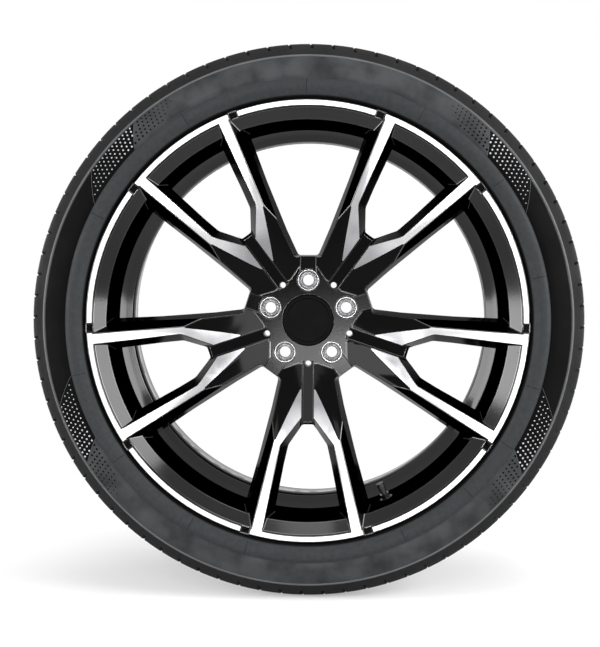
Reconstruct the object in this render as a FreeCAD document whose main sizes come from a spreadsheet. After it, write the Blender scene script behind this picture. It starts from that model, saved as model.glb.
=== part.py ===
import FreeCAD
import Part
import Sketcher
import math
import os

Vector = FreeCAD.Vector

# Driving sizes in millimetres and degrees. A depth is measured inwards from the plane of the front lip.
SIZES = [
    # Rim, an 11J x 22 contour
    ("bead_seat_radius", 279.4),
    ("rim_width", 279.4),
    ("flange_height", 17.5),
    ("lip_width", 12.0),
    ("lip_edge", 2.1),
    ("flange_chamfer", 3.2),
    ("heel_radius", 5.5),
    ("seat_width", 21.0),
    ("seat_fall", 1.84),
    ("hump_height", 1.1),
    ("hump_width", 5.0),
    ("rim_wall", 6.0),
    ("lip_inner_radius", 287.0),
    ("lip_bevel", 2.5),
    ("lip_wall_depth", 14.0),
    ("lip_wall_radius", 270.5),
    ("ledge_depth", 75.0),
    ("ledge_radius", 263.0),
    ("well_depth", 100.0),
    ("well_radius", 250.0),
    ("well_length", 26.0),
    ("rear_wall_radius", 271.0),
    ("rear_mouth_radius", 276.0),
    # Spoke disc: turned face, back and hub
    ("face_hub_radius", 95.5),
    ("face_hub_depth", 60.0),
    ("face_bend_radius", 165.0),
    ("face_bend_depth", 27.0),
    ("plateau_radius", 62.0),
    ("plateau_depth", 82.0),
    ("back_rim_radius", 268.5),
    ("back_rim_depth", 46.0),
    ("back_mid_radius", 200.0),
    ("back_mid_depth", 58.0),
    ("back_root_radius", 130.0),
    ("back_root_depth", 80.0),
    ("back_hub_radius", 92.0),
    ("back_hub_depth", 100.0),
    ("pad_radius", 75.0),
    ("hub_offset", 43.0),
    ("spoke_pairs", 5),
    # Window inside a pair of spokes, at the front plane and at the back plane
    ("window_depth", 110.0),
    ("apex_half", 8.0),
    ("apex_front", 115.0),
    ("apex_back", 160.0),
    ("bend_half_front", 42.5),
    ("bend_front", 166.0),
    ("bend_half_back", 16.0),
    ("bend_back", 177.0),
    ("leg_half_front", 61.0),
    ("leg_half_back", 33.0),
    ("window_reach", 290.0),
    ("apex_rounding", 5.0),
    ("bend_rounding", 14.0),
    # Window between two pairs
    ("gap_hub_front", 80.5),
    ("gap_hub_back", 92.5),
    ("gap_half_front", 30.5),
    ("gap_half_back", 12.0),
    ("gap_rim_half_front", 103.0),
    ("gap_rim_half_back", 81.0),
    ("gap_reach", 300.0),
    ("gap_rounding", 4.0),
    # Sloping facets beside the turned blades
    ("root_facet_start", 9.9),
    ("root_facet_foot", 44.0),
    ("root_facet_top", 20.0),
    ("root_facet_line_top", 156.0),
    ("root_facet_line_foot", 55.8),
    ("root_facet_slope", 0.3525),
    ("side_facet_foot", 90.0),
    ("side_facet_depth", 60.0),
    ("side_facet_line_top", -51.4),
    ("side_facet_line_foot", 2.5),
    ("side_facet_slope", 0.4502),
    ("facet_fan", 0.69),
    # Channel between the blades of a pair
    ("channel_half", 7.9),
    ("channel_start", 58.0),
    ("channel_start_depth", 86.0),
    ("channel_end", 145.0),
    ("channel_end_depth", 64.0),
    # Hub openings
    ("hub_bore_radius", 33.25),
    ("cap_recess_radius", 35.6),
    ("cap_recess_depth", 93.0),
    ("bolt_circle_radius", 56.0),
    ("bolt_hole_radius", 7.75),
    ("bolt_pocket_radius", 15.3),
    ("bolt_seat_depth", 92.0),
    ("bolt_seat_height", 5.0),
    ("relief_half", 11.2),
    ("relief_reach", 91.5),
    ("relief_depth", 86.0),
    ("dot_radius", 4.0),
    ("dot_circle_radius", 60.5),
    ("notch_angle", 16.4),
    ("notch_half", 6.2),
    ("notch_depth", 2.5),
    ("notch_foot", 284.0),
    # Centre cap
    ("fit_clearance", 0.2),
    ("cap_face_depth", 77.0),
    ("cap_plate", 3.0),
    ("cap_dish_radius", 29.6),
    ("cap_dish_depth", 1.2),
    ("cap_skirt_wall", 1.3),
    # Tyre, 315/30 R22
    ("tyre_radius", 373.9),
    ("tread_flat_half", 62.0),
    ("shoulder_radius", 371.2),
    ("shoulder_half", 135.0),
    ("shoulder_rounding", 9.0),
    ("shoulder_foot_radius", 353.0),
    ("shoulder_foot_half", 148.2),
    ("flank_radius", 327.0),
    ("flank_half", 156.8),
    ("valley_radius", 321.5),
    ("valley_half", 154.4),
    ("guard_radius", 311.5),
    ("guard_half", 157.5),
    ("guard_rounding", 7.0),
    ("guard_foot_radius", 301.5),
    ("guard_foot_half", 150.8),
    ("bead_clearance", 0.3),
    ("rim_gap_depth", 6.0),
    ("bead_toe_rise", 7.0),
    ("bead_width", 19.5),
    ("tread_thickness", 12.4),
    ("liner_waist_radius", 301.0),
    ("liner_waist_half", 126.0),
    ("liner_flank_radius", 322.0),
    ("liner_flank_half", 145.5),
    ("liner_top_radius", 346.0),
    ("liner_top_half", 138.0),
    ("liner_shoulder_half", 116.0),
    ("groove_depth", 7.5),
    ("groove_half", 5.0),
    ("groove_inner_place", 22.0),
    ("groove_outer_place", 66.0),
    ("slot_count", 80),
    ("slot_half", 1.8),
    ("slot_depth", 8.0),
    ("slot_length", 52.0),
    ("slot_slant", 14.0),
    # Tyre valve; its own axis runs from the rim wall to the hub
    ("valve_angle", 294.0),
    ("valve_depth", 50.0),
    ("valve_tilt", 7.0),
    ("valve_wall", 5.0),
    ("spot_face", 0.8),
    ("valve_hole_radius", 5.75),
    ("stem_radius", 4.0),
    ("stem_length", 22.0),
    ("stem_bore_radius", 2.5),
    ("foot_radius", 8.5),
    ("foot_height", 5.0),
    ("seal_flange", 3.0),
    ("washer_radius", 8.0),
    ("washer_height", 1.2),
    ("nut_width", 12.0),
    ("nut_height", 6.5),
    ("valve_cap_radius", 5.2),
    ("valve_cap_length", 11.0),
    ("valve_cap_wall", 1.2),
    ("core_length", 15.0),
    ("core_guide_radius", 1.0),
    ("core_chamber_radius", 1.9),
    ("core_lip", 1.2),
    ("core_guide_length", 6.5),
    ("core_recess", 1.0),
    ("pin_radius", 0.7),
    ("pin_collar_radius", 1.6),
    ("pin_collar_height", 0.8),
    ("pin_plug_radius", 1.9),
    ("pin_plug_height", 2.4),
    ("spring_length", 5.0),
    ("spring_wire_radius", 0.22),
    ("spring_turns", 4),
    ("small_clearance", 0.1),
]

document = FreeCAD.newDocument("car_wheel")
sheet = document.addObject("Spreadsheet::Sheet", "sizes")
for row, (alias, number) in enumerate(SIZES, start=1):
    sheet.set(f"A{row}", str(number))
    sheet.setAlias(f"A{row}", alias)
document.recompute()


class Size:
    """A length that carries its number and the sheet formula behind it."""

    def __init__(self, number, formula):
        self.number = number
        self.formula = formula

    def __add__(self, other):
        other = as_size(other)
        return Size(self.number + other.number, f"({self.formula} + {other.formula})")

    def __sub__(self, other):
        other = as_size(other)
        return Size(self.number - other.number, f"({self.formula} - {other.formula})")

    def __mul__(self, other):
        other = as_size(other)
        return Size(self.number * other.number, f"({self.formula} * {other.formula})")

    def __truediv__(self, other):
        other = as_size(other)
        return Size(self.number / other.number, f"({self.formula} / {other.formula})")

    def __neg__(self):
        return Size(-self.number, f"(0 - {self.formula})")


def as_size(value):
    return value if isinstance(value, Size) else Size(float(value), repr(float(value)))


def size(alias):
    return Size(float(sheet.get(alias)), f"sizes.{alias}")


def new_body(name):
    body = document.addObject("PartDesign::Body", name)
    body.Label = name
    return body


def origin_feature(body, role):
    return next(feature for feature in body.Origin.OriginFeatures if feature.Role == role)


def new_sketch(body, name, plane, offset=0.0, turn=0.0, axis=Vector(0, 0, 1)):
    """A sketch on one of the body's origin planes, moved along its normal and turned about an axis."""
    sketch = body.newObject("Sketcher::SketchObject", name)
    sketch.AttachmentSupport = [(origin_feature(body, plane), "")]
    sketch.MapMode = "FlatFace"
    offset = as_size(offset)
    turn = as_size(turn)
    sketch.AttachmentOffset = FreeCAD.Placement(
        Vector(0, 0, offset.number), FreeCAD.Rotation(axis, turn.number))
    sketch.setExpression("AttachmentOffset.Base.z", offset.formula)
    sketch.setExpression("AttachmentOffset.Rotation.Angle", turn.formula)
    return sketch


def bind(sketch, constraint, value):
    """Add a dimension and tie it to the sheet."""
    index = sketch.addConstraint(constraint)
    sketch.setExpression(f"Constraints[{index}]", value.formula)


def place_point(sketch, geometry, vertex, x, y):
    bind(sketch, Sketcher.Constraint("DistanceX", -1, 1, geometry, vertex, x.number), x)
    bind(sketch, Sketcher.Constraint("DistanceY", -1, 1, geometry, vertex, y.number), y)


def tangent_points(before, corner, after, radius):
    """Where a rounding of this radius touches the two sides of a corner, and its centre."""
    back = (before - corner).normalize()
    ahead = (after - corner).normalize()
    half = back.getAngle(ahead) / 2
    reach = radius / math.tan(half)
    middle = (back + ahead).normalize() * (radius / math.sin(half))
    return corner + back * reach, corner + ahead * reach, corner + middle


def draw(sketch, corners):
    """Draw one closed outline. A corner is (x, y), or (x, y, radius) where it is rounded."""
    sizes = [[as_size(value) for value in corner] for corner in corners]
    spots = [Vector(corner[0].number, corner[1].number, 0) for corner in sizes]
    count = len(spots)
    starts = list(spots)
    ends = list(spots)
    centres = [None] * count
    for i, corner in enumerate(sizes):
        if len(corner) == 3:
            ends[i - 1 if i else -1], starts[i], centres[i] = tangent_points(
                spots[i - 1], spots[i], spots[(i + 1) % count], corner[2].number)
        else:
            ends[i - 1 if i else -1] = spots[i]
    lines = [sketch.addGeometry(Part.LineSegment(starts[i], ends[i]), False) for i in range(count)]
    for i, corner in enumerate(sizes):
        before = lines[i - 1]
        after = lines[i]
        if len(corner) == 2:
            sketch.addConstraint(Sketcher.Constraint("Coincident", before, 2, after, 1))
            place_point(sketch, after, 1, corner[0], corner[1])
        else:
            add_rounding(sketch, before, after, spots[i], ends[i - 1], starts[i], centres[i], corner)


def add_rounding(sketch, before, after, spot, touch_in, touch_out, centre, corner):
    """Round one corner with an arc that stays tangent to both sides."""
    turns_left = (spot - touch_in).cross(touch_out - spot).z > 0
    first, last = (touch_in, touch_out) if turns_left else (touch_out, touch_in)
    start = math.atan2(first.y - centre.y, first.x - centre.x)
    stop = math.atan2(last.y - centre.y, last.x - centre.x)
    circle = Part.Circle(centre, Vector(0, 0, 1), corner[2].number)
    arc = sketch.addGeometry(Part.ArcOfCircle(circle, start, stop), False)
    point = sketch.addGeometry(Part.Point(spot), True)
    place_point(sketch, point, 1, corner[0], corner[1])
    sketch.addConstraint(Sketcher.Constraint("PointOnObject", point, 1, before))
    sketch.addConstraint(Sketcher.Constraint("PointOnObject", point, 1, after))
    sketch.addConstraint(Sketcher.Constraint("Tangent", before, 2, arc, 1 if turns_left else 2))
    sketch.addConstraint(Sketcher.Constraint("Tangent", after, 1, arc, 2 if turns_left else 1))
    bind(sketch, Sketcher.Constraint("Radius", arc, corner[2].number), corner[2])


def draw_circle(sketch, x, y, radius):
    x, y, radius = as_size(x), as_size(y), as_size(radius)
    circle = sketch.addGeometry(
        Part.Circle(Vector(x.number, y.number, 0), Vector(0, 0, 1), radius.number), False)
    place_point(sketch, circle, 3, x, y)
    bind(sketch, Sketcher.Constraint("Radius", circle, radius.number), radius)


def turned(body, name, corners, kind="Revolution"):
    """Turn a profile of (radius, place along the axis) corners about the body's Y axis."""
    sketch = new_sketch(body, f"{name}_profile", "XY_Plane")
    draw(sketch, corners)
    feature = body.newObject(f"PartDesign::{kind}", name)
    feature.Profile = sketch
    feature.ReferenceAxis = (sketch, ["V_Axis"])
    feature.Angle = 360
    return feature


def cut_straight(body, name, corners, floor, height, turn):
    """Cut a straight pocket that rises from its floor, given as a distance in front of the centre plane."""
    sketch = new_sketch(body, f"{name}_outline", "XZ_Plane", floor, turn)
    draw(sketch, corners)
    return pocket_forward(body, name, sketch, height)


def pocket_forward(body, name, sketch, height):
    feature = body.newObject("PartDesign::Pocket", name)
    feature.Profile = sketch
    feature.Reversed = True
    height = as_size(height)
    feature.Length = height.number
    feature.setExpression("Length", height.formula)
    return feature


def cut_loft(body, name, first, second, first_place, second_place, turn):
    """Cut a straight-sided loft between two outlines on planes square to the wheel's axis."""
    near = new_sketch(body, f"{name}_front", "XZ_Plane", first_place, turn)
    draw(near, first)
    far = new_sketch(body, f"{name}_back", "XZ_Plane", second_place, turn)
    draw(far, second)
    loft = body.newObject("PartDesign::SubtractiveLoft", name)
    loft.Profile = near
    loft.Sections = [far]
    loft.Ruled = True
    return loft


def repeat(body, name, features, count):
    """Repeat features round the wheel's axis."""
    pattern = body.newObject("PartDesign::PolarPattern", name)
    pattern.Originals = features
    pattern.Axis = (origin_feature(body, "Y_Axis"), [""])
    pattern.Angle = 360
    pattern.Occurrences = int(count.number)
    pattern.setExpression("Occurrences", count.formula)
    body.Tip = pattern
    return pattern


# Places shared by the pieces
RIM_HALF = size("rim_width") / 2
LIP = RIM_HALF + size("lip_width")
FLANGE_RADIUS = size("bead_seat_radius") + size("flange_height")
SEAT_END = RIM_HALF - size("seat_width")
SEAT_END_RADIUS = size("bead_seat_radius") - size("seat_fall")
PAIR_TURN = 180.0
GAP_TURN = as_size(PAIR_TURN) + as_size(180.0) / size("spoke_pairs")


def at_depth(depth):
    """Place along the axis, which points to the back, of a depth behind the lip."""
    return as_size(depth) - LIP


def rim_half_profile(side):
    """Tyre side of one flange, bead seat and hump, from the lip's edge inwards. side is -1 in front."""
    hump = SEAT_END - size("hump_width") / 2
    foot = SEAT_END - size("hump_width")
    corners = [
        (FLANGE_RADIUS - size("lip_edge"), LIP),
        (FLANGE_RADIUS, LIP - size("lip_edge")),
        (FLANGE_RADIUS, RIM_HALF + size("flange_chamfer")),
        (FLANGE_RADIUS - size("flange_chamfer"), RIM_HALF),
        (size("bead_seat_radius"), RIM_HALF, size("heel_radius")),
        (SEAT_END_RADIUS, SEAT_END),
        (SEAT_END_RADIUS + size("hump_height"), hump),
        (SEAT_END_RADIUS - size("hump_height"), foot),
    ]
    return [(corner[0], corner[1] * side) + tuple(corner[2:]) for corner in corners]


def rim_profile():
    wall = size("rim_wall")
    ledge = at_depth(size("ledge_depth"))
    well = at_depth(size("well_depth"))
    well_end = well + size("well_length")
    outside = rim_half_profile(-1) + [
        (size("ledge_radius") + wall, ledge),
        (size("well_radius") + wall, well),
        (size("well_radius") + wall, well_end),
    ]
    outside += list(reversed(rim_half_profile(1)))
    inside = [
        (size("rear_mouth_radius"), LIP),
        (size("rear_wall_radius"), SEAT_END - size("hump_width") * 2),
        (size("well_radius"), well_end),
        (size("well_radius"), well),
        (size("ledge_radius"), ledge),
        (size("lip_wall_radius"), at_depth(size("lip_wall_depth"))),
        (size("lip_inner_radius") - size("lip_bevel") / 2, at_depth(size("lip_bevel"))),
        (size("lip_inner_radius"), at_depth(0)),
    ]
    return outside + inside


def disc_profile():
    """Solid disc from which the spokes are cut: turned face in front, stepped back behind."""
    core = size("hub_bore_radius") / 2
    mount = -size("hub_offset")
    lap = size("lip_inner_radius") + size("lip_edge") * 2
    return [
        (core, at_depth(size("plateau_depth"))),
        (size("plateau_radius"), at_depth(size("plateau_depth"))),
        (size("face_hub_radius"), at_depth(size("face_hub_depth"))),
        (size("face_bend_radius"), at_depth(size("face_bend_depth"))),
        (size("lip_inner_radius"), at_depth(0)),
        (lap, at_depth(0)),
        (lap, at_depth(size("lip_width") / 2)),
        (size("lip_wall_radius") + size("rim_wall") / 2, at_depth(size("lip_width") * 1.6)),
        (size("back_rim_radius"), at_depth(size("back_rim_depth"))),
        (size("back_mid_radius"), at_depth(size("back_mid_depth"))),
        (size("back_root_radius"), at_depth(size("back_root_depth"))),
        (size("back_hub_radius"), at_depth(size("back_hub_depth"))),
        (size("pad_radius"), mount),
        (core, mount),
    ]


def mirrored(right_side):
    """Close an outline from its right side, listed from the hub outwards."""
    left_side = [(-corner[0],) + tuple(corner[1:]) for corner in reversed(right_side)]
    return right_side + left_side


def pair_window(end):
    """Outline of the window inside a pair at the front or back plane."""
    return mirrored([
        (size("apex_half"), size(f"apex_{end}"), size("apex_rounding")),
        (size(f"bend_half_{end}"), size(f"bend_{end}"), size("bend_rounding")),
        (size(f"leg_half_{end}"), size("window_reach")),
    ])


def gap_window(end):
    """Outline of the window between two pairs at the front or back plane."""
    return mirrored([
        (size(f"gap_half_{end}"), size(f"gap_hub_{end}"), size("gap_rounding")),
        (size(f"gap_rim_half_{end}"), size("gap_reach")),
    ])


def cut_windows(body):
    front = LIP
    back = LIP - size("window_depth")
    pair = [pair_window(end) for end in ("front", "back")]
    gap = [gap_window(end) for end in ("front", "back")]
    return [
        cut_loft(body, "pair_window", pair[0], pair[1], front, back, PAIR_TURN),
        cut_loft(body, "gap_window", gap[0], gap[1], front, back, GAP_TURN),
    ]


def root_facet(line, side):
    """Outline of the root facet at one depth; its upper edge is the facet's level line."""
    start = size("root_facet_start")
    foot = size("root_facet_foot")
    slope = size("root_facet_slope")
    fan = size("facet_fan")
    meet = line / (as_size(1.0) - slope * fan)
    corners = [
        (start, foot),
        (foot * fan, foot),
        (meet * fan, meet),
        (start, line + slope * start),
    ]
    return [(x * side, y) for x, y in corners]


def side_facet(line, side):
    """Outline of the facet along a spoke at one depth; its inner edge is the facet's level line."""
    foot = size("side_facet_foot")
    reach = size("window_reach")
    slope = size("side_facet_slope")
    fan = size("facet_fan")
    corners = [
        (line + slope * foot, foot),
        (foot * fan, foot),
        (reach * fan, reach),
        (line + slope * reach, reach),
    ]
    return [(x * side, y) for x, y in corners]


def cut_facets(body):
    cuts = []
    for label, side in (("left", -1), ("right", 1)):
        cuts.append(cut_loft(
            body, f"root_facet_{label}",
            root_facet(size("root_facet_line_top"), side),
            root_facet(size("root_facet_line_foot"), side),
            LIP - size("root_facet_top"), LIP - size("plateau_depth"), PAIR_TURN))
        cuts.append(cut_loft(
            body, f"side_facet_{label}",
            side_facet(size("side_facet_line_top"), side),
            side_facet(size("side_facet_line_foot"), side),
            LIP, LIP - size("side_facet_depth"), PAIR_TURN))
    return cuts


def cut_channel(body):
    """Channel between the blades of the lowest pair; its floor falls towards the hub."""
    front = at_depth(0)
    sketch = new_sketch(body, "channel_outline", "YZ_Plane")
    draw(sketch, [
        (front, -size("channel_start")),
        (at_depth(size("channel_start_depth")), -size("channel_start")),
        (at_depth(size("channel_end_depth")), -size("channel_end")),
        (front, -size("channel_end")),
    ])
    feature = body.newObject("PartDesign::Pocket", "channel")
    feature.Profile = sketch
    feature.SideType = "Symmetric"
    width = size("channel_half") * 2
    feature.Length = width.number
    feature.setExpression("Length", width.formula)
    return feature


def cut_notches(body):
    """Painted notches in the lip beside each spoke's foot."""
    outline = mirrored([
        (size("notch_half"), size("notch_foot")),
        (size("notch_half"), FLANGE_RADIUS - size("lip_edge") / 2),
    ])
    depth = size("notch_depth")
    cuts = []
    for label, side in (("left", -1), ("right", 1)):
        turn = as_size(PAIR_TURN) + size("notch_angle") * side
        cuts.append(cut_straight(body, f"notch_{label}", outline, LIP - depth, depth * 2, turn))
    return cuts


def cut_bolt_holes(body):
    """One stepped bolt hole with a conical seat, its outward relief and one small through hole."""
    axis_place = size("bolt_circle_radius")
    radius = size("bolt_hole_radius")
    pocket_radius = size("bolt_pocket_radius")
    mouth = at_depth(size("face_hub_depth"))
    seat = at_depth(size("bolt_seat_depth"))
    sketch = new_sketch(body, "bolt_hole_profile", "YZ_Plane")
    draw(sketch, [
        (mouth, axis_place),
        (as_size(0.0), axis_place),
        (as_size(0.0), axis_place + radius),
        (seat + size("bolt_seat_height"), axis_place + radius),
        (seat, axis_place + radius + size("bolt_seat_height")),
        (seat, axis_place + pocket_radius),
        (mouth, axis_place + pocket_radius),
    ])
    groove = body.newObject("PartDesign::Groove", "bolt_hole")
    groove.Profile = sketch
    groove.ReferenceAxis = (sketch, ["Edge1"])
    groove.Angle = 360
    relief = cut_straight(body, "bolt_relief", mirrored([
        (size("relief_half"), axis_place),
        (size("relief_half"), size("relief_reach")),
    ]), LIP - size("relief_depth"), size("relief_depth") - size("face_bend_depth"), 0.0)
    dot_sketch = new_sketch(body, "dot_outline", "XZ_Plane", 0.0, PAIR_TURN)
    draw_circle(dot_sketch, 0.0, size("dot_circle_radius"), size("dot_radius"))
    dot = pocket_forward(body, "dot_hole", dot_sketch, LIP)
    return [groove, relief, dot]


def bore_profile():
    """Cap recess and hub bore."""
    return [
        (as_size(0.0), at_depth(0)),
        (size("cap_recess_radius"), at_depth(0)),
        (size("cap_recess_radius"), at_depth(size("cap_recess_depth"))),
        (size("hub_bore_radius"), at_depth(size("cap_recess_depth"))),
        (size("hub_bore_radius"), as_size(0.0)),
        (as_size(0.0), as_size(0.0)),
    ]


def valve_frame():
    """Where the valve's own frame lies: its Y axis runs from the rim wall's inner face towards the hub."""
    run = (size("valve_depth") - size("lip_wall_depth")) / (size("ledge_depth") - size("lip_wall_depth"))
    face = size("lip_wall_radius") - (size("lip_wall_radius") - size("ledge_radius")) * run
    radius = (face + size("spot_face")).number
    angle = math.radians(size("valve_angle").number)
    spot = Vector(radius * math.cos(angle), at_depth(size("valve_depth")).number, radius * math.sin(angle))
    swing = FreeCAD.Rotation(Vector(0, 1, 0), -size("valve_angle").number)
    lean = FreeCAD.Rotation(Vector(0, 0, 1), 90 + size("valve_tilt").number)
    return FreeCAD.Placement(spot, swing * lean)


def cut_valve_hole(body):
    """Valve hole with a flat spot face on each side of the rim wall."""
    sketch = body.newObject("Sketcher::SketchObject", "valve_hole_profile")
    sketch.AttachmentSupport = [(origin_feature(body, "XY_Plane"), "")]
    sketch.MapMode = "FlatFace"
    sketch.AttachmentOffset = valve_frame()
    hole = size("valve_hole_radius")
    washer = size("washer_radius") + size("spot_face")
    foot = size("foot_radius") + size("spot_face")
    wall = -size("valve_wall")
    draw(sketch, [
        (as_size(0.0), washer),
        (washer, washer),
        (washer, as_size(0.0)),
        (hole, as_size(0.0)),
        (hole, wall),
        (foot, wall),
        (foot, wall - foot),
        (as_size(0.0), wall - foot),
    ])
    groove = body.newObject("PartDesign::Groove", "valve_hole")
    groove.Profile = sketch
    groove.ReferenceAxis = (sketch, ["V_Axis"])
    groove.Angle = 360


def make_alloy_wheel():
    body = new_body("alloy_wheel")
    turned(body, "spoke_disc", disc_profile())
    cuts = cut_windows(body) + cut_facets(body) + [cut_channel(body)]
    repeat(body, "spokes", cuts, size("spoke_pairs"))
    turned(body, "rim", rim_profile())
    details = cut_notches(body) + cut_bolt_holes(body)
    repeat(body, "hub_details", details, size("spoke_pairs"))
    turned(body, "hub_bore", bore_profile(), kind="Groove")
    cut_valve_hole(body)
    return body


def make_centre_cap():
    body = new_body("centre_cap")
    gap = size("fit_clearance")
    front = at_depth(size("cap_face_depth"))
    dish = front + size("cap_dish_depth")
    underside = front + size("cap_plate") + size("cap_dish_depth")
    rim = size("cap_recess_radius") - gap
    seat = at_depth(size("cap_recess_depth")) - gap
    turned(body, "cap", [
        (as_size(0.0), dish),
        (size("cap_dish_radius"), dish),
        (size("cap_dish_radius") + size("cap_dish_depth"), front),
        (rim - size("cap_dish_depth"), front),
        (rim, front + size("cap_dish_depth")),
        (rim, seat),
        (rim - size("cap_skirt_wall"), seat),
        (rim - size("cap_skirt_wall"), underside),
        (as_size(0.0), underside),
    ])
    return body


def tyre_half_outside():
    """Outside of one half of the tyre from the tread to the bead toe."""
    gap = size("bead_clearance")
    return [
        (size("tyre_radius"), size("tread_flat_half")),
        (size("shoulder_radius"), size("shoulder_half"), size("shoulder_rounding")),
        (size("shoulder_foot_radius"), size("shoulder_foot_half")),
        (size("flank_radius"), size("flank_half")),
        (size("valley_radius"), size("valley_half")),
        (size("guard_radius"), size("guard_half"), size("guard_rounding")),
        (size("guard_foot_radius"), size("guard_foot_half")),
        (FLANGE_RADIUS + gap, LIP - size("rim_gap_depth")),
        (FLANGE_RADIUS + gap, RIM_HALF + size("flange_chamfer") - gap),
        (FLANGE_RADIUS - size("flange_chamfer"), RIM_HALF - gap * 1.5),
        (size("bead_seat_radius") + gap, RIM_HALF - gap * 1.5, size("heel_radius")),
        (SEAT_END_RADIUS + gap * 1.5, RIM_HALF - size("bead_width")),
    ]


def tyre_half_inside():
    """Inner liner of one half from the bead toe to the tread."""
    rise = size("bead_toe_rise")
    return [
        (SEAT_END_RADIUS + rise, RIM_HALF - size("bead_width") - rise / 2),
        (size("liner_waist_radius"), size("liner_waist_half")),
        (size("liner_flank_radius"), size("liner_flank_half")),
        (size("liner_top_radius"), size("liner_top_half")),
        (size("tyre_radius") - size("tread_thickness"), size("liner_shoulder_half")),
    ]


def flipped(corners):
    return [(corner[0], -corner[1]) + tuple(corner[2:]) for corner in reversed(corners)]


def make_tyre():
    body = new_body("tyre")
    half = tyre_half_outside() + tyre_half_inside()
    turned(body, "carcass", half + flipped(half))
    floor = size("tyre_radius") - size("groove_depth")
    top = size("tyre_radius") + size("groove_depth")
    width = size("groove_half")
    for label, place in (("inner", size("groove_inner_place")), ("outer", size("groove_outer_place"))):
        for end, side in (("front", -1), ("rear", 1)):
            turned(body, f"groove_{label}_{end}", [
                (floor, place * side - width * 0.8),
                (floor, place * side + width * 0.8),
                (top, place * side + width * 1.2),
                (top, place * side - width * 1.2),
            ], kind="Groove")
    slots = [cut_slot(body, "front", 1), cut_slot(body, "rear", -1)]
    repeat(body, "shoulder_slots", slots, size("slot_count"))
    return body


def cut_slot(body, label, side):
    """One slanted slot across a shoulder; its floor is cut down from the tyre's full radius."""
    start = size("guard_half") - size("slot_length")
    sketch = new_sketch(
        body, f"slot_{label}_outline", "XZ_Plane", start * side, size("slot_slant"), Vector(0, 1, 0))
    floor = size("tyre_radius") - size("slot_depth")
    draw(sketch, mirrored([
        (size("slot_half"), floor),
        (size("slot_half"), size("tyre_radius") + size("slot_depth")),
    ]))
    feature = body.newObject("PartDesign::Pocket", f"slot_{label}")
    feature.Profile = sketch
    feature.Reversed = side > 0
    feature.Length = size("slot_length").number
    feature.setExpression("Length", size("slot_length").formula)
    return feature


# Heights along the valve's own axis; the rim wall's inner face is at zero
SEAL_TOP = -size("valve_wall")
FOOT_TOP = SEAL_TOP - size("seal_flange")
CORE_TOP = size("stem_length") - size("core_recess")
CORE_FOOT = CORE_TOP - size("core_length")
SPRING_SEAT = CORE_FOOT + size("core_lip")
COLLAR_FOOT = SPRING_SEAT + size("spring_length")
SMALL_GAP = size("small_clearance")

# The spring's wire: straight runs to a turn, and sides of its section
RUNS_PER_TURN = 8
WIRE_SIDES = 6


def valve_piece(name, corners):
    """A turned piece of the valve, placed in the rim."""
    body = new_body(name)
    turned(body, f"{name}_turned", corners)
    body.Placement = valve_frame()
    return body


def make_valve_stem():
    bore = size("stem_bore_radius")
    return valve_piece("valve_stem", [
        (bore, FOOT_TOP - size("foot_height")),
        (size("foot_radius"), FOOT_TOP - size("foot_height")),
        (size("foot_radius"), FOOT_TOP),
        (size("stem_radius"), FOOT_TOP),
        (size("stem_radius"), size("stem_length")),
        (bore, size("stem_length")),
    ])


def make_valve_seal():
    inside = size("stem_radius") + SMALL_GAP
    sleeve = size("valve_hole_radius") - SMALL_GAP
    return valve_piece("valve_seal", [
        (inside, FOOT_TOP),
        (size("foot_radius"), FOOT_TOP),
        (size("foot_radius"), SEAL_TOP),
        (sleeve, SEAL_TOP),
        (sleeve, -SMALL_GAP),
        (inside, -SMALL_GAP),
    ])


def make_valve_washer():
    inside = size("stem_radius") + SMALL_GAP
    return valve_piece("valve_washer", [
        (inside, as_size(0.0)),
        (size("washer_radius"), as_size(0.0)),
        (size("washer_radius"), size("washer_height")),
        (inside, size("washer_height")),
    ])


def make_valve_nut():
    body = new_body("valve_nut")
    top = size("washer_height") + size("nut_height")
    sketch = new_sketch(body, "nut_outline", "XZ_Plane", -top)
    corner_radius = size("nut_width") / math.sqrt(3)
    corners = []
    for step in range(6):
        turn = math.radians(60 * step)
        corners.append((corner_radius * math.cos(turn), corner_radius * math.sin(turn)))
    draw(sketch, corners)
    draw_circle(sketch, 0.0, 0.0, size("stem_radius") + SMALL_GAP)
    pad = body.newObject("PartDesign::Pad", "nut")
    pad.Profile = sketch
    pad.Length = size("nut_height").number
    pad.setExpression("Length", size("nut_height").formula)
    body.Placement = valve_frame()
    return body


def make_valve_core():
    outside = size("stem_bore_radius") - SMALL_GAP
    guide = size("core_guide_radius")
    chamber = size("core_chamber_radius")
    chamber_top = CORE_TOP - size("core_guide_length")
    return valve_piece("valve_core", [
        (guide, CORE_FOOT),
        (outside, CORE_FOOT),
        (outside, CORE_TOP),
        (guide, CORE_TOP),
        (guide, chamber_top),
        (chamber, chamber_top),
        (chamber, SPRING_SEAT),
        (guide, SPRING_SEAT),
    ])


def make_valve_pin():
    shaft = size("pin_radius")
    collar_top = COLLAR_FOOT + size("pin_collar_height")
    plug_top = CORE_FOOT - SMALL_GAP
    plug_foot = plug_top - size("pin_plug_height")
    tip = size("stem_length") - SMALL_GAP
    return valve_piece("valve_pin", [
        (as_size(0.0), plug_foot),
        (size("pin_plug_radius"), plug_foot),
        (size("pin_plug_radius"), plug_top),
        (shaft, plug_top),
        (shaft, COLLAR_FOOT),
        (size("pin_collar_radius"), COLLAR_FOOT),
        (size("pin_collar_radius"), collar_top),
        (shaft, collar_top),
        (shaft, tip),
        (as_size(0.0), tip),
    ])


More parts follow.
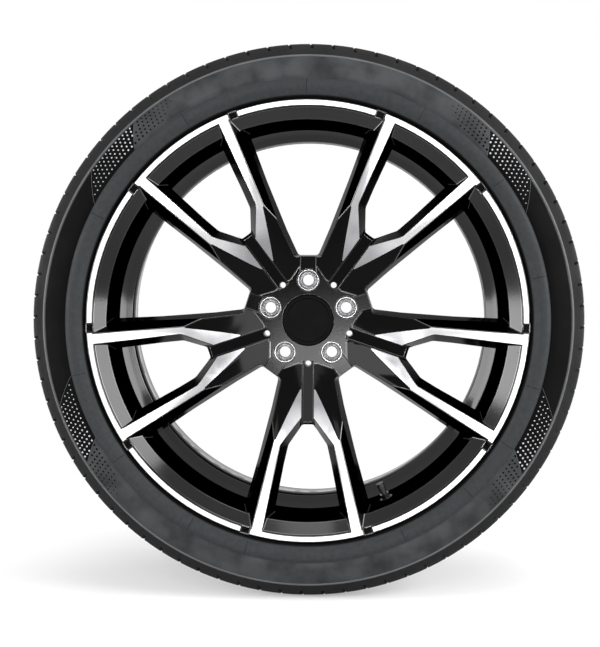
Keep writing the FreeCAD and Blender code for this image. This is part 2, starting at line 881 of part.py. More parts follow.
def make_valve_spring():
    """Fine wire wound in short straight runs between the core's lip and the pin's collar."""
    wire = size("spring_wire_radius").number
    middle = ((size("pin_radius") + size("core_chamber_radius")) / 2).number
    foot = (SPRING_SEAT + SMALL_GAP / 2).number + wire
    rise = (size("spring_length") - SMALL_GAP).number - 2 * wire
    runs = RUNS_PER_TURN * int(size("spring_turns").number)
    points = []
    for step in range(runs + 1):
        turn = 2 * math.pi * step / RUNS_PER_TURN
        points.append(Vector(middle * math.cos(turn), foot + rise * step / runs, middle * math.sin(turn)))
    path = Part.makePolygon(points)
    across = Part.Circle(points[0], points[1] - points[0], wire)
    corners = [across.value(2 * math.pi * side / WIRE_SIDES) for side in range(WIRE_SIDES + 1)]
    section = Part.makePolygon(corners)
    piece = document.addObject("Part::Feature", "valve_spring")
    piece.Label = "valve_spring"
    piece.Shape = path.makePipeShell([section], True, False, 1)
    piece.Placement = valve_frame()
    return piece


def make_valve_cap():
    bore = size("stem_radius") + SMALL_GAP
    inside = size("stem_length") + SMALL_GAP
    top = inside + size("valve_cap_wall")
    foot = top - size("valve_cap_length")
    return valve_piece("valve_cap", [
        (bore, foot),
        (size("valve_cap_radius"), foot),
        (size("valve_cap_radius"), top),
        (as_size(0.0), top),
        (as_size(0.0), inside),
        (bore, inside),
    ])


def main():
    pieces = [
        make_alloy_wheel(),
        make_centre_cap(),
        make_tyre(),
        make_valve_stem(),
        make_valve_seal(),
        make_valve_washer(),
        make_valve_nut(),
        make_valve_core(),
        make_valve_pin(),
        make_valve_spring(),
        make_valve_cap(),
    ]
    document.recompute()
    for item in document.Objects:
        bad = [state for state in item.State if state in ("Invalid", "Error")]
        if bad:
            raise RuntimeError(f"{item.Label} failed: {bad}")
    for piece in pieces:
        if piece.Shape.isNull() or not piece.Shape.isValid():
            raise RuntimeError(f"{piece.Label} has no valid shape")
    os.makedirs("parts", exist_ok=True)
    for piece in pieces:
        piece.Shape.exportStep(f"parts/{piece.Label}.step")
        print(piece.Label, round(piece.Shape.Volume), len(piece.Shape.Solids))


main()
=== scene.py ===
"""Looks of a car wheel with its tyre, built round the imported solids. Metres, outer face towards -Y, +Z up."""

import math

import bmesh
import bpy
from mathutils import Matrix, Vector


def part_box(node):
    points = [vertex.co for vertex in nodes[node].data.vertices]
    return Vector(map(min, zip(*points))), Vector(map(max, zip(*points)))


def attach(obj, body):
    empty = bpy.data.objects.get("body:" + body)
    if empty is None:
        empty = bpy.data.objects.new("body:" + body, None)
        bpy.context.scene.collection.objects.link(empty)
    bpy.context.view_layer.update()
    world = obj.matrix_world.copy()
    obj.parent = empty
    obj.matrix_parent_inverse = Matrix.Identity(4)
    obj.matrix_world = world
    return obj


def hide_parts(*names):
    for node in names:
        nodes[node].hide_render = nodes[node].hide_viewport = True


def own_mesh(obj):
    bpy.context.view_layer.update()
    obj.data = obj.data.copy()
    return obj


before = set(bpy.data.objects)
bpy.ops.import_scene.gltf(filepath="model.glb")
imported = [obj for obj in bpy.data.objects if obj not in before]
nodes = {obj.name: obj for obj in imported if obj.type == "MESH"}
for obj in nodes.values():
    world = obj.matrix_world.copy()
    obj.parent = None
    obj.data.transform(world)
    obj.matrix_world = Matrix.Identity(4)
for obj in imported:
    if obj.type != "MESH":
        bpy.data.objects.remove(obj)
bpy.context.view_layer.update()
MM = 0.001

# Photograph: camera a little above and right of the spin axis, and the lip's centre in the 600 x 647 picture
PHOTO_HEIGHT = 647
PHOTO_CENTRE = (300.0, 323.5)
WHEEL_CENTRE_PIXEL = (306.5, 322.3)
FOCAL_PIXELS = 1205.0
CAMERA_DISTANCE = 1.6
CAMERA_ASIDE = 0.045
CAMERA_ABOVE = 0.060
SENSOR = 36.0

# Studio: strength of the world as light and where it is seen, and the floor in metres, which is plain near
# the wheel and white far off
WORLD_LIGHT = 0.35
WORLD_SEEN = 1.0
FLOOR_HALF_SIDE = 6.0
FLOOR_GLOW = 0.35
FLOOR_NEAR = 0.45
FLOOR_FAR = 1.1

# Soft boxes: name, place, width and height, and power in watts
LAMPS = [
    ("left_box", (-2.4, -0.9, 0.1), (1.9, 1.4), 80.0),
    ("right_box", (2.4, -0.9, 0.4), (1.9, 2.8), 140.0),
    ("front_box", (-0.5, -3.4, 1.6), (2.4, 1.4), 45.0),
    ("low_box", (0.15, -3.6, -0.35), (0.8, 0.4), 34.0),
    ("top_box", (0.2, -0.4, 2.6), (2.2, 2.2), 45.0),
    ("rear_left_box", (-2.2, 1.7, 0.2), (1.2, 1.6), 45.0),
    ("rear_right_box", (2.2, 1.7, 0.2), (1.2, 1.6), 45.0),
]

# Sizes that follow the frame, in metres
LIP_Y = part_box("alloy_wheel")[0].y
TYRE_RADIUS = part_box("tyre")[1].z

# Places of the materials on the wheel and on the tyre; the wheel's edge and barrel paints are copies of its
# black paint with painted highlight, painted reflection and painted shade
PAINT, TURNED, BARE, EDGE_HIGHLIGHT, BARREL_REFLECTION, BARREL_WALL_SHADE = range(6)
RUBBER, LIGHT_DOT, BLACK_DOT, RAISED_LINE = range(4)

# Turned face of the spokes: radius and depth behind the lip, in millimetres, and the least turn to the front
TURNED_FACE = [(95.5, 60.0), (165.0, 27.0), (287.0, 0.0), (294.8, 0.0)]
TURNED_TOLERANCE = 0.35
TURNED_FACING = -0.7

# Tone of the turned metal: painted shade darkens the inner cone and a painted highlight whitens the lip (radius
# in metres), and its rings
SHADED_INNER_CONE = (0.090, 0.175)
CONE_PAINTED_SHADE = 0.62
LIP_HIGHLIGHT_BAND = (0.2855, 0.2875)
LIP_PAINTED_HIGHLIGHT = 0.65
RING_PITCH = 0.0011

# Bare metal: bolt seats in millimetres, and the mounting pad at the back, its radius in metres
BOLT_COUNT = 5
BOLT_CIRCLE = 56.0
BOLT_SEAT_REACH = 15.2
BOLT_SEAT_TOP = 89.0
PAD_DEPTH = 107.0
PAD_RADIUS = 0.0755
PAD_FACING = 0.9

# Barrel: least radius in metres, and the inward turn of the lip wall and slope, which take a lighter copy of
# the paint as a painted reflection; faces turned further inwards are the barrel's wall, whose copy of the paint
# mirrors almost nothing at grazing angles, a painted shade
BARREL_RADIUS = 0.248
BARREL_SLOPE = (0.35, 0.93)

# Edges of the wheel and the tyre, in degrees and metres
WHEEL_EDGE_ANGLE = 24.0
WHEEL_EDGE_WIDTH = 0.0009
WHEEL_EDGE_STEPS = 2
WELD_DISTANCE = 2e-5
FLAT_ANGLE = 0.4
TYRE_EDGE_ANGLE = 38.0

# Tread, in millimetres from the middle plane and from the spin axis
TREAD_HALF_WIDTH = 135.0
CROWN_RADIUS = 373.9
CROWN_FLAT = 62.0
SHOULDER_DROP = 2.7
SHOULDER_CURVE = 1.4
GROOVE_DEPTH = 7.5
GROOVE_TOP_HALF = 5.0
GROOVE_FLOOR_HALF = 4.0
GROOVE_EDGE = 0.5

# Shoulder slots: columns in degrees from a slot's middle, and which of them lie inside the slot
SLOT_COUNT = 80
SLOT_START = 83.0
SLOT_WALL = 0.6
SLOT_FLOOR_RADIUS = 363.2
SLOT_SLANT = math.tan(math.radians(14.0))
SLOT_MIDDLE = 109.0
SLANT_END = 140.0
SLOT_COLUMNS = (-0.31, -0.25, 0.25, 0.31, 2.25)
SLOT_INSIDE = (1, 2)

# Rows on the middle rib, and each groove with the rows on the rib outside it
MIDDLE_ROWS = (0.0, 9.0)
GROOVES = [
    (22.0, (35.0, 44.0, 53.0)),
    (66.0, (77.0, SLOT_START, SLOT_START + SLOT_WALL, 92.0, 101.0, 110.0, 119.0)),
]
SHOULDER_EDGE = 126.0
CORNER_STEPS = 4

# Inside of the tyre: radius and half width in millimetres
LINER = [(361.4, 0.0), (361.4, 60.0), (361.4, 116.0), (346.0, 138.0), (322.0, 145.5), (301.0, 126.0)]

# Decorated band of the front sidewall, in millimetres and degrees
BAND_MIDDLE = 335.5
BAND_INNER = 322.5
BAND_OUTER = 350.5
LINE_INNER = 351.5
LINE_OUTER = 354.6
GUARD_INNER = 302.0
DARK_CENTRES = (5.6, 171.85)
PLAIN_HALF = 23.7
PLAIN_SLANT = 0.215
DARK_HALF = 38.8
DARK_SLANT = 0.138

# Dots: every second row is set back, their sizes change along the panel, and they keep off its border line
DOTS_END = 51.0
DOT_ROWS = (328.2, 333.4, 338.6, 343.8, 348.6)
LONGEST_ROW = 3
ROW_TAPER = 1.4
DOT_PITCH = 6.7
FIRST_DOT = 0.75
DOT_STAGGER = 0.5
BORDER_CLEARANCE = 0.35
LIGHT_DOT_SIZES = (0.75, 1.75)
BLACK_DOT_SIZES = (2.5, 0.75)
DOT_HEIGHT = 0.3
DOT_WALL = 0.6
DOT_TOP = 0.8
DOT_SIDES = 10

# Raised lines: half width and height in millimetres; dots and lines start a little below the rubber's surface
SUNK = 0.4
RIDGE_TOP = 0.4
RIDGE_STEPS = 10
BORDER_LINE = (0.55, 0.35)
BORDER_REACH = (BAND_INNER + 0.4, BAND_OUTER - 0.2)
VENT_LINE = (0.4, 0.25)
VENT_REACH = (303.0, 321.0)
VENT_ANGLES = (11, 36, 61, 90, 121, 153, 193, 216, 240, 255, 294.5, 313.6, 328.5, 344)

# Width of the change from one zone of the rubber to the next, in millimetres, and in degrees for the fields
BAND_BLUR = 0.4
SHOULDER_BLUR = 2.5
BEAD_BLUR = 2.0
FIELD_BLUR = 0.15

# Rubber tones, dark and light; the bead's tone is painted shade in the gap beside the rim
SIDEWALL_TONES = ((0.014, 0.0145, 0.0152), (0.038, 0.040, 0.0425))
GUARD_TONES = ((0.014, 0.0155, 0.0165), (0.030, 0.0325, 0.035))
SHOULDER_TONES = (0.005, 0.010)
DARK_TONES = (0.002, 0.004)
BEAD_SHADE_TONE = 0.004

# The part of a noise's range that is spread out: in general, for the sidewall's blotches and for metal streaks
NOISE_RANGE = (0.3, 0.7)
BLOTCH_RANGE = (0.28, 0.72)
STREAK_RANGE = (0.35, 0.65)


class Shading:
    """A node material under construction."""

    def __init__(self, name):
        self.material = bpy.data.materials.new(name)
        self.material.use_nodes = True
        self.tree = self.material.node_tree
        self.tree.nodes.clear()
        self.output = self.tree.nodes.new("ShaderNodeOutputMaterial")
        self.shader = self.add("ShaderNodeBsdfPrincipled")
        self.tree.links.new(self.shader.outputs["BSDF"], self.output.inputs["Surface"])
        self.position = self.add("ShaderNodeTexCoord").outputs["Object"]

    def add(self, kind, **settings):
        node = self.tree.nodes.new(kind)
        for name, value in settings.items():
            setattr(node, name, value)
        return node

    def put(self, target, value):
        """Links a socket to an input, or sets the input to a plain value."""
        if isinstance(value, bpy.types.NodeSocket):
            self.tree.links.new(value, target)
        else:
            target.default_value = value

    def set(self, **inputs):
        """Sets inputs of the main shader; underscores stand for spaces."""
        for name, value in inputs.items():
            self.put(self.shader.inputs[name.replace("_", " ")], value)

    def math(self, operation, first, second=0.0):
        node = self.add("ShaderNodeMath", operation=operation)
        for target, value in zip(node.inputs, (first, second)):
            self.put(target, value)
        return node.outputs[0]

    def spread(self, value, low, high, start=0.0, end=1.0):
        """Maps low..high to start..end with soft ends."""
        node = self.add("ShaderNodeMapRange", interpolation_type="SMOOTHSTEP")
        for target, given in zip(node.inputs, (value, low, high, start, end)):
            self.put(target, given)
        return node.outputs[0]

    def noise(self, scale, detail=3.0):
        node = self.add("ShaderNodeTexNoise")
        node.inputs["Scale"].default_value = scale
        node.inputs["Detail"].default_value = detail
        self.put(node.inputs["Vector"], self.position)
        return node.outputs[0]

    def blend(self, share, first, second):
        """Mixes two colours given as grey values, triples or sockets."""
        node = self.add("ShaderNodeMix", data_type="RGBA")
        self.put(node.inputs["Factor"], share)
        for name, given in (("A", first), ("B", second)):
            self.put(node.inputs[name], given if isinstance(given, bpy.types.NodeSocket) else colour(given))
        return node.outputs["Result"]

    def bump(self, height, strength, distance):
        node = self.add("ShaderNodeBump")
        node.inputs["Strength"].default_value = strength
        node.inputs["Distance"].default_value = distance
        self.put(node.inputs["Height"], height)
        self.put(self.shader.inputs["Normal"], node.outputs[0])

    def parts(self):
        """Sockets for x, y, z and the distance from the spin axis."""
        split = self.add("ShaderNodeSeparateXYZ")
        self.put(split.inputs[0], self.position)
        x, y, z = split.outputs
        squares = self.math("ADD", self.math("MULTIPLY", x, x), self.math("MULTIPLY", z, z))
        return x, y, z, self.math("SQRT", squares)


def colour(value):
    """A colour with full alpha from a grey value or a triple."""
    if isinstance(value, (int, float)):
        value = (value, value, value)
    return (*value, 1.0)


def gloss_paint(name, tone, edge_tint=0.35):
    """Glossy black paint; the tone is the share of light that it mirrors when seen straight on."""
    paint = Shading(name)
    cloud = paint.noise(scale=9.0)
    paint.set(
        Base_Color=paint.blend(cloud, tone * 0.85, tone * 1.15),
        Metallic=1.0,
        Specular_Tint=colour(edge_tint),
        Roughness=paint.spread(cloud, *NOISE_RANGE, start=0.09, end=0.14),
    )
    paint.bump(paint.noise(scale=420.0, detail=1.0), strength=0.05, distance=0.0004)
    return paint.material


def turned_metal():
    """Lathe-cut aluminium: fine rings about the spin axis and random streaks, with painted shade on the inner
    cone and a painted highlight on the lip.
    """
    metal = Shading("turned_aluminium")
    radius = metal.parts()[3]
    ring = metal.math("SINE", metal.math("MULTIPLY", radius, 2.0 * math.pi / RING_PITCH))
    grain = metal.noise(scale=25.0, detail=2.0)
    # Painted shade: the turned face is darker on the inner cone near the hub and lighter outwards.
    painted_cone_shade = metal.math("MULTIPLY", metal.spread(radius, *SHADED_INNER_CONE), CONE_PAINTED_SHADE)
    streak = metal.spread(metal.noise(scale=11.0, detail=2.0), *STREAK_RANGE, start=-0.3, end=0.0)
    # Painted highlight: the lip band's tone is raised to white.
    lip = metal.spread(radius, *LIP_HIGHLIGHT_BAND, start=0.0, end=LIP_PAINTED_HIGHLIGHT)
    light = metal.math("ADD", painted_cone_shade, metal.math("ADD", streak, lip))
    tangent = metal.add("ShaderNodeTangent", direction_type="RADIAL", axis="Y")
    metal.set(
        Base_Color=metal.blend(light, (0.26, 0.26, 0.27), (0.88, 0.88, 0.89)),
        Metallic=1.0,
        Roughness=metal.spread(grain, *NOISE_RANGE, start=0.30, end=0.34),
        Anisotropic=0.4,
        Tangent=tangent.outputs[0],
    )
    metal.bump(ring, strength=0.05, distance=0.0001)
    return metal.material


def bare_metal(name, tone, roughness):
    """Plain machined metal with a faint cloudy finish."""
    metal = Shading(name)
    cloud = metal.noise(scale=140.0, detail=4.0)
    dark = tuple(channel * 0.86 for channel in tone)
    metal.set(
        Base_Color=metal.blend(cloud, dark, tone),
        Metallic=1.0,
        Roughness=metal.spread(cloud, *NOISE_RANGE, start=roughness * 0.8, end=roughness * 1.2),
    )
    metal.bump(metal.noise(scale=1400.0, detail=2.0), strength=0.08, distance=0.0002)
    return metal.material


def moulded(name, low, high, roughness, grain_scale=900.0, grain=0.1, sheen=0.5):
    """Moulded plastic or rubber with fine grain."""
    plastic = Shading(name)
    cloud = plastic.noise(scale=45.0, detail=4.0)
    plastic.set(
        Base_Color=plastic.blend(cloud, low, high),
        Roughness=plastic.spread(cloud, *NOISE_RANGE, start=roughness * 0.85, end=roughness * 1.15),
        Specular_IOR_Level=sheen,
    )
    plastic.bump(plastic.noise(grain_scale, detail=2.0), strength=grain, distance=0.0003)
    return plastic.material


def dark_fields(rubber, x, y, z, millimetres):
    """1 in the two dark fields of the front sidewall's band, and 0 elsewhere."""
    dark = None
    for centre, across in zip(DARK_CENTRES, (x, rubber.math("MULTIPLY", x, -1.0))):
        middle = centre if centre < 90.0 else 180.0 - centre
        angle = rubber.math("DEGREES", rubber.math("ARCTAN2", z, across))
        away = rubber.math("ABSOLUTE", rubber.math("SUBTRACT", angle, middle))
        lean = rubber.math("MULTIPLY", rubber.math("SUBTRACT", millimetres, BAND_MIDDLE), DARK_SLANT)
        away = rubber.math("SUBTRACT", away, lean)
        inside = rubber.spread(away, DARK_HALF + FIELD_BLUR, DARK_HALF - FIELD_BLUR)
        dark = inside if dark is None else rubber.math("MAXIMUM", dark, inside)
    in_band = rubber.math(
        "MULTIPLY",
        rubber.spread(millimetres, BAND_INNER - BAND_BLUR, BAND_INNER + BAND_BLUR),
        rubber.spread(millimetres, BAND_OUTER + BAND_BLUR, BAND_OUTER - BAND_BLUR),
    )
    front = rubber.math("LESS_THAN", y, 0.0)
    return rubber.math("MULTIPLY", rubber.math("MULTIPLY", dark, in_band), front)


def tyre_rubber():
    """Rubber whose tone follows the tyre's zones: tread and shoulder, decorated band and rim guard, with
    painted shade darkening the bead beside the rim.
    """
    rubber = Shading("tyre_rubber")
    x, y, z, radius = rubber.parts()
    millimetres = rubber.math("MULTIPLY", radius, 1.0 / MM)
    dark = dark_fields(rubber, x, y, z, millimetres)
    guard = rubber.spread(millimetres, BAND_INNER + BAND_BLUR, BAND_INNER - 2 * BAND_BLUR)
    shoulder = rubber.spread(millimetres, BAND_OUTER, BAND_OUTER + SHOULDER_BLUR)
    # Painted shade: the rubber turns near black towards the bead, in the gap beside the rim's flange.
    bead_painted_shade = rubber.spread(millimetres, GUARD_INNER, GUARD_INNER - BEAD_BLUR)
    cloud = rubber.noise(scale=26.0, detail=5.0)
    streak = rubber.noise(scale=160.0)
    tone = rubber.blend(rubber.spread(cloud, *BLOTCH_RANGE), *SIDEWALL_TONES)
    tone = rubber.blend(guard, tone, rubber.blend(streak, *GUARD_TONES))
    tone = rubber.blend(shoulder, tone, rubber.blend(streak, *SHOULDER_TONES))
    tone = rubber.blend(dark, tone, rubber.blend(cloud, *DARK_TONES))
    tone = rubber.blend(bead_painted_shade, tone, BEAD_SHADE_TONE)
    polish = rubber.spread(cloud, *NOISE_RANGE, start=0.60, end=0.48)
    rubber.set(
        Base_Color=tone,
        Roughness=rubber.math("ADD", polish, rubber.math("MULTIPLY", shoulder, 0.2)),
        Specular_IOR_Level=rubber.math("SUBTRACT", 0.11, rubber.math("MULTIPLY", dark, 0.09)),
    )
    rubber.bump(rubber.noise(scale=700.0), strength=0.18, distance=0.0004)
    return rubber.material


def on_wheel(radius, y, degrees):
    """Point in metres from a radius and axial place in millimetres and an angle seen from the front."""
    turn = math.radians(degrees)
    return (radius * math.cos(turn) * MM, y * MM, radius * math.sin(turn) * MM)


def softened(corners):
    """Points along a polyline whose corners (radius, half width, reach) are rounded over their reach."""
    points = []
    for index, corner in enumerate(corners):
        here = Vector(corner[:2])
        reach = corner[2] if len(corner) > 2 else 0.0
        if not reach:
            points.append(tuple(here))
            continue
        before = Vector(corners[index - 1][:2])
        after = Vector(corners[index + 1][:2])
        start = here + (before - here).normalized() * reach
        end = here + (after - here).normalized() * reach
        for step in range(CORNER_STEPS + 1):
            share = step / CORNER_STEPS
            points.append(tuple(start.lerp(here, share).lerp(here.lerp(end, share), share)))
    return points


def crown(half_width):
    """Tread radius at a distance from the tyre's middle plane."""
    out = max(0.0, (half_width - CROWN_FLAT) / (TREAD_HALF_WIDTH - CROWN_FLAT))
    return CROWN_RADIUS - SHOULDER_DROP * out ** SHOULDER_CURVE


def tread_half():
    """Tread rows from the middle to the shoulder, with two grooves."""
    rows = [(crown(row), row) for row in MIDDLE_ROWS]
    for place, rib_rows in GROOVES:
        for side in (-1, 1):
            walls = [
                (crown(place), place + side * (GROOVE_TOP_HALF + GROOVE_EDGE)),
                (crown(place) - GROOVE_EDGE, place + side * GROOVE_TOP_HALF),
                (crown(place) - GROOVE_DEPTH + GROOVE_EDGE, place + side * GROOVE_FLOOR_HALF),
                (crown(place) - GROOVE_DEPTH, place + side * (GROOVE_FLOOR_HALF - GROOVE_EDGE)),
            ]
            rows += walls if side < 0 else walls[::-1]
        rows += [(crown(row), row) for row in rib_rows]
    return rows


def sidewall_half():
    """Rows from the shoulder down the sidewall to the bead toe, from radius, half width and rounding."""
    return softened([
        (crown(SHOULDER_EDGE), SHOULDER_EDGE),
        (371.2, 135.5, 8.0),
        (364.6, 139.9),
        (SLOT_FLOOR_RADIUS + 0.5, 140.9),
        (SLOT_FLOOR_RADIUS, 141.2),
        (358.6, 144.4),
        (354.9, 147.1, 0.4),
        (354.0, 148.2, 0.3),
        (352.6, 148.9, 0.3),
        (351.9, 148.5, 0.3),
        (346.0, 151.2),
        (340.0, 153.3),
        (334.0, 155.1),
        (327.0, 156.7, 3.5),
        (322.4, 154.2, 1.2),
        (318.5, 156.6, 1.6),
        (311.5, 158.0, 5.0),
        (301.5, 150.8, 2.0),
        (297.5, 145.7),
        (297.5, 142.8),
        (293.7, 139.2),
        (279.8, 139.2, 5.0),
        (278.1, 120.4),
        (284.5, 116.7),
    ])


def tyre_rows():
    """The whole closed section as rows of radius, axial place and whether slots cut them."""
    outside = []
    for radius, place in tread_half() + sidewall_half():
        outside.append((radius, place, place >= SLOT_START + SLOT_WALL / 2 and radius > SLOT_FLOOR_RADIUS))
    inside = [(radius, place, False) for radius, place in LINER]
    loop = [(radius, -place, slotted) for radius, place, slotted in reversed(outside)]
    loop += outside[1:] + inside[::-1]
    loop += [(radius, -place, slotted) for radius, place, slotted in inside[1:]]
    return loop


def tyre_shell(vertices, faces):
    """Adds the rubber body as a grid of rows round the wheel, its columns leaning with the shoulder slots."""
    rows = tyre_rows()
    pitch = 360.0 / SLOT_COUNT
    columns = [(slot * pitch + offset, index in SLOT_INSIDE)
               for slot in range(SLOT_COUNT) for index, offset in enumerate(SLOT_COLUMNS)]
    for radius, place, slotted in rows:
        reach = min(max(abs(place), SLOT_START), SLANT_END) - SLOT_MIDDLE
        lean = math.degrees(math.copysign(reach * SLOT_SLANT, place) / CROWN_RADIUS)
        for angle, inside in columns:
            height = min(radius, SLOT_FLOOR_RADIUS) if slotted and inside else radius
            vertices.append(on_wheel(height, place, angle + lean))
    across = len(columns)
    for row in range(len(rows)):
        below = row * across
        above = (row + 1) % len(rows) * across
        ends = rows[row][0], rows[(row + 1) % len(rows)][0]
        # The raised ring at the shoulder's foot takes the lighter rubber of the raised lines, a painted
        # highlight.
        index = RAISED_LINE if all(LINE_INNER < radius < LINE_OUTER for radius in ends) else RUBBER
        for column in range(across):
            following = (column + 1) % across
            faces.append(((below + column, below + following, above + following, above + column), index))


def sidewall_place(radius):
    """Axial place of the front sidewall's surface at a radius in millimetres."""
    rows = sidewall_half()
    for (outer, outer_half), (inner, inner_half) in zip(rows, rows[1:]):
        if inner <= radius <= outer:
            share = (outer - radius) / max(outer - inner, 1e-6)
            return -(outer_half + (inner_half - outer_half) * share)
    raise ValueError(f"no sidewall at radius {radius}")


def add_dot(vertices, faces, radius, degrees, size, index):
    """A small round raised dot on the sidewall, with a chamfered top."""
    first = len(vertices)
    for lift, share in ((-SUNK, 1.0), (DOT_HEIGHT * DOT_WALL, 1.0), (DOT_HEIGHT, DOT_TOP)):
        for side in range(DOT_SIDES):
            turn = 2.0 * math.pi * side / DOT_SIDES
            away = radius + size * share * math.sin(turn)
            along = math.degrees(size * share * math.cos(turn) / radius)
            vertices.append(on_wheel(away, sidewall_place(away) - lift, degrees + along))
    for ring in (0, 1):
        for side in range(DOT_SIDES):
            here = first + ring * DOT_SIDES + side
            following = first + ring * DOT_SIDES + (side + 1) % DOT_SIDES
            faces.append(((here, following, following + DOT_SIDES, here + DOT_SIDES), index))
    faces.append((tuple(first + 2 * DOT_SIDES + side for side in range(DOT_SIDES)), index))
    faces.append((tuple(first + side for side in reversed(range(DOT_SIDES))), index))


def add_ridge(vertices, faces, path, section, index):
    """A thin raised line along (radius, degrees) points; its section is half width and height."""
    half, height = section
    first = len(vertices)
    for radius, degrees in path:
        spread = math.degrees(half / radius)
        top = spread * RIDGE_TOP
        surface = sidewall_place(radius)
        for offset, lift in ((-spread, -SUNK), (-top, height), (top, height), (spread, -SUNK)):
            vertices.append(on_wheel(radius, surface - lift, degrees + offset))
    for step in range(len(path) - 1):
        here = first + step * 4
        for side in range(4):
            following = (side + 1) % 4
            faces.append(((here + side, here + following, here + 4 + following, here + 4 + side), index))
    last = first + (len(path) - 1) * 4
    faces.append(((first, first + 3, first + 2, first + 1), index))
    faces.append(((last, last + 1, last + 2, last + 3), index))


def stepped(start, end):
    """Radii along a raised line."""
    return [start + (end - start) * step / RIDGE_STEPS for step in range(RIDGE_STEPS + 1)]


def add_dot_row(vertices, faces, line, centre, side):
    """One row of a panel's dots: light ones on the dark field, then black ones that fade out."""
    row = DOT_ROWS[line]
    pitch = math.degrees(DOT_PITCH / row)
    border = DARK_HALF + DARK_SLANT * (row - BAND_MIDDLE)
    away = PLAIN_HALF + PLAIN_SLANT * (row - BAND_MIDDLE) + pitch * (FIRST_DOT + DOT_STAGGER * (line % 2))
    while away < DOTS_END - ROW_TAPER * abs(line - LONGEST_ROW):
        light = away < border
        share = (away - PLAIN_HALF) / (DOTS_END - PLAIN_HALF)
        near, far = LIGHT_DOT_SIZES if light else BLACK_DOT_SIZES
        size = near + (far - near) * share
        if abs(away - border) > BORDER_CLEARANCE * pitch:
            add_dot(vertices, faces, row, centre + side * away, size, LIGHT_DOT if light else BLACK_DOT)
        away += pitch


def add_dot_panels(vertices, faces):
    """Four halftone panels that fade away from the plain dark fields, and the slanted lines beside them."""
    for centre in DARK_CENTRES:
        for side in (-1, 1):
            for line in range(len(DOT_ROWS)):
                add_dot_row(vertices, faces, line, centre, side)
            for half, slant in ((PLAIN_HALF, PLAIN_SLANT), (DARK_HALF, DARK_SLANT)):
                path = [(radius, centre + side * (half + slant * (radius - BAND_MIDDLE)))
                        for radius in stepped(*BORDER_REACH)]
                add_ridge(vertices, faces, path, BORDER_LINE, RAISED_LINE)


def mark_edges(shape, degrees):
    """Keeps edges below an angle smooth and makes the others sharp."""
    for edge in shape.edges:
        edge.smooth = len(edge.link_faces) == 2 and edge.calc_face_angle(0.0) < math.radians(degrees)


def make_tyre(materials):
    vertices = []
    faces = []
    tyre_shell(vertices, faces)
    add_dot_panels(vertices, faces)
    for angle in VENT_ANGLES:
        add_ridge(vertices, faces, [(radius, angle) for radius in stepped(*VENT_REACH)], VENT_LINE, BLACK_DOT)
    mesh = bpy.data.meshes.new("tyre_rubber")
    mesh.from_pydata(vertices, [], [face for face, _ in faces])
    for material in materials:
        mesh.materials.append(material)
    for polygon, (_, index) in zip(mesh.polygons, faces):
        polygon.material_index = index
        polygon.use_smooth = True
    shape = bmesh.new()
    shape.from_mesh(mesh)
    bmesh.ops.recalc_face_normals(shape, faces=shape.faces)
    mark_edges(shape, TYRE_EDGE_ANGLE)
    shape.to_mesh(mesh)
    shape.free()
    piece = bpy.data.objects.new("tyre_rubber", mesh)
    bpy.context.scene.collection.objects.link(piece)
    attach(piece, "wheel")
    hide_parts("tyre")


def turned_depth(radius):
    """Depth of the turned face behind the lip at a radius, both in millimetres, or None off the face."""
    for (inner, near), (outer, far) in zip(TURNED_FACE, TURNED_FACE[1:]):
        if inner - TURNED_TOLERANCE <= radius <= outer + TURNED_TOLERANCE:
            return near + (far - near) * (radius - inner) / (outer - inner)
    return None


def on_turned_face(corner):
    face_depth = turned_depth(math.hypot(corner.x, corner.z) / MM)
    return face_depth is not None and abs((corner.y - LIP_Y) / MM - face_depth) < TURNED_TOLERANCE


def wheel_finish(face):
    """Which of the wheel's materials a face has: paint, turned metal, bare metal, or the barrel's copies of the
    paint with painted reflection and painted shade.
    """
    if face.normal.y < TURNED_FACING and all(on_turned_face(vertex.co) for vertex in face.verts):
        return TURNED
    centre = face.calc_center_median()
    radius = math.hypot(centre.x, centre.z)
    inwards = -(face.normal.x * centre.x + face.normal.z * centre.z) / radius
    # Painted reflection on the lip wall and slope, which take a lighter copy of the paint; painted shade on the
    # barrel's wall, whose copy mirrors almost nothing at grazing angles.
    if radius > BARREL_RADIUS and inwards > BARREL_SLOPE[0]:
        return BARREL_REFLECTION if inwards < BARREL_SLOPE[1] else BARREL_WALL_SHADE
    depth = (centre.y - LIP_Y) / MM
    if depth > PAD_DEPTH and radius < PAD_RADIUS and face.normal.y > PAD_FACING:
        return BARE
    for bolt in range(BOLT_COUNT):
        spot = on_wheel(BOLT_CIRCLE, 0.0, 90.0 + 360.0 / BOLT_COUNT * bolt)
        away = math.hypot(centre.x - spot[0], centre.z - spot[2]) / MM
        if away < BOLT_SEAT_REACH and BOLT_SEAT_TOP < depth < PAD_DEPTH:
            return BARE
    return PAINT


